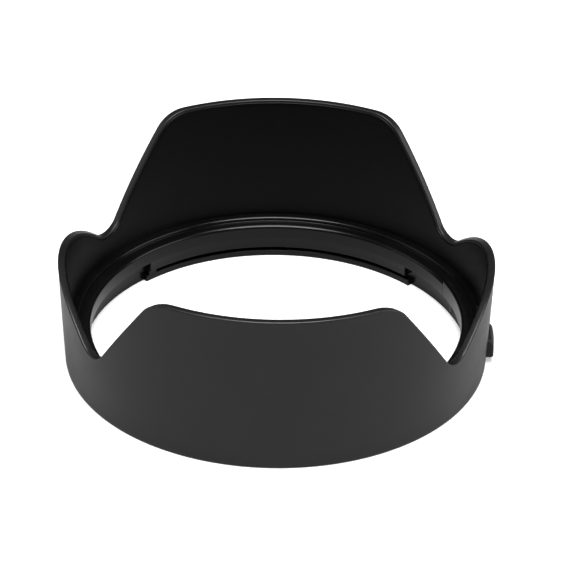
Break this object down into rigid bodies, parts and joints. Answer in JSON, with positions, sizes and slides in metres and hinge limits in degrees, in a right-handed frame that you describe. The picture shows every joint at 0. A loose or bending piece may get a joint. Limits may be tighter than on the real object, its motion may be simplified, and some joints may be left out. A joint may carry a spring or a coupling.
{
  "type": "petal lens hood",
  "caption": "Flared petal lens hood with two tall and two short petals, an inner quarter-turn bayonet ring, a flocked lining and a side button that works a hidden lock lever.",
  "frame": {"origin": "centre of the mounting end's plane, on the optical axis", "axes": "+Z along the optical axis from the mounting end to the petals, +X towards the release button, +Y towards one tall petal"},
  "size_m": [0.0962, 0.0972, 0.0377],
  "materials": {
    "shell_plastic": "satin black moulding with a fine grain",
    "ring_plastic": "matt black moulding",
    "flock": "black flock, light absorbing",
    "button_plastic": "matt black moulding",
    "lever_plastic": "black acetal",
    "blackened_steel": "black oxide",
    "spring_steel": "bright drawn steel"
  },
  "bodies": {
    "hood": {"hood_shell": "shell_plastic", "flock_lining": "flock", "bayonet_ring": "ring_plastic", "lock_cover": "ring_plastic", "cover_screw": "blackened_steel", "lever_pin": "spring_steel", "lever_spring": "spring_steel"},
    "button": {"release_button": "button_plastic", "retaining_clip": "spring_steel"},
    "lever": {"lock_lever": "lever_plastic"}
  },
  "joints": [
    {"name": "button_press", "type": "slide", "parent": "hood", "child": "button", "axis": [-1, 0, 0], "range_m": [0, 0.0008], "stiffness_N_per_m": 500, "springref_m": -0.002},
    {"name": "lever_pivot", "type": "hinge", "parent": "hood", "child": "lever", "pos_m": [0.04264, 0.0077, 0.0068], "axis": [0, 0, -1], "range_deg": [0, 5.8], "deforming": ["lever_spring"]}
  ],
  "couplings": [
    {"joint": "lever_pivot", "follows": "button_press", "rad_per_m": 123.46}
  ]
}
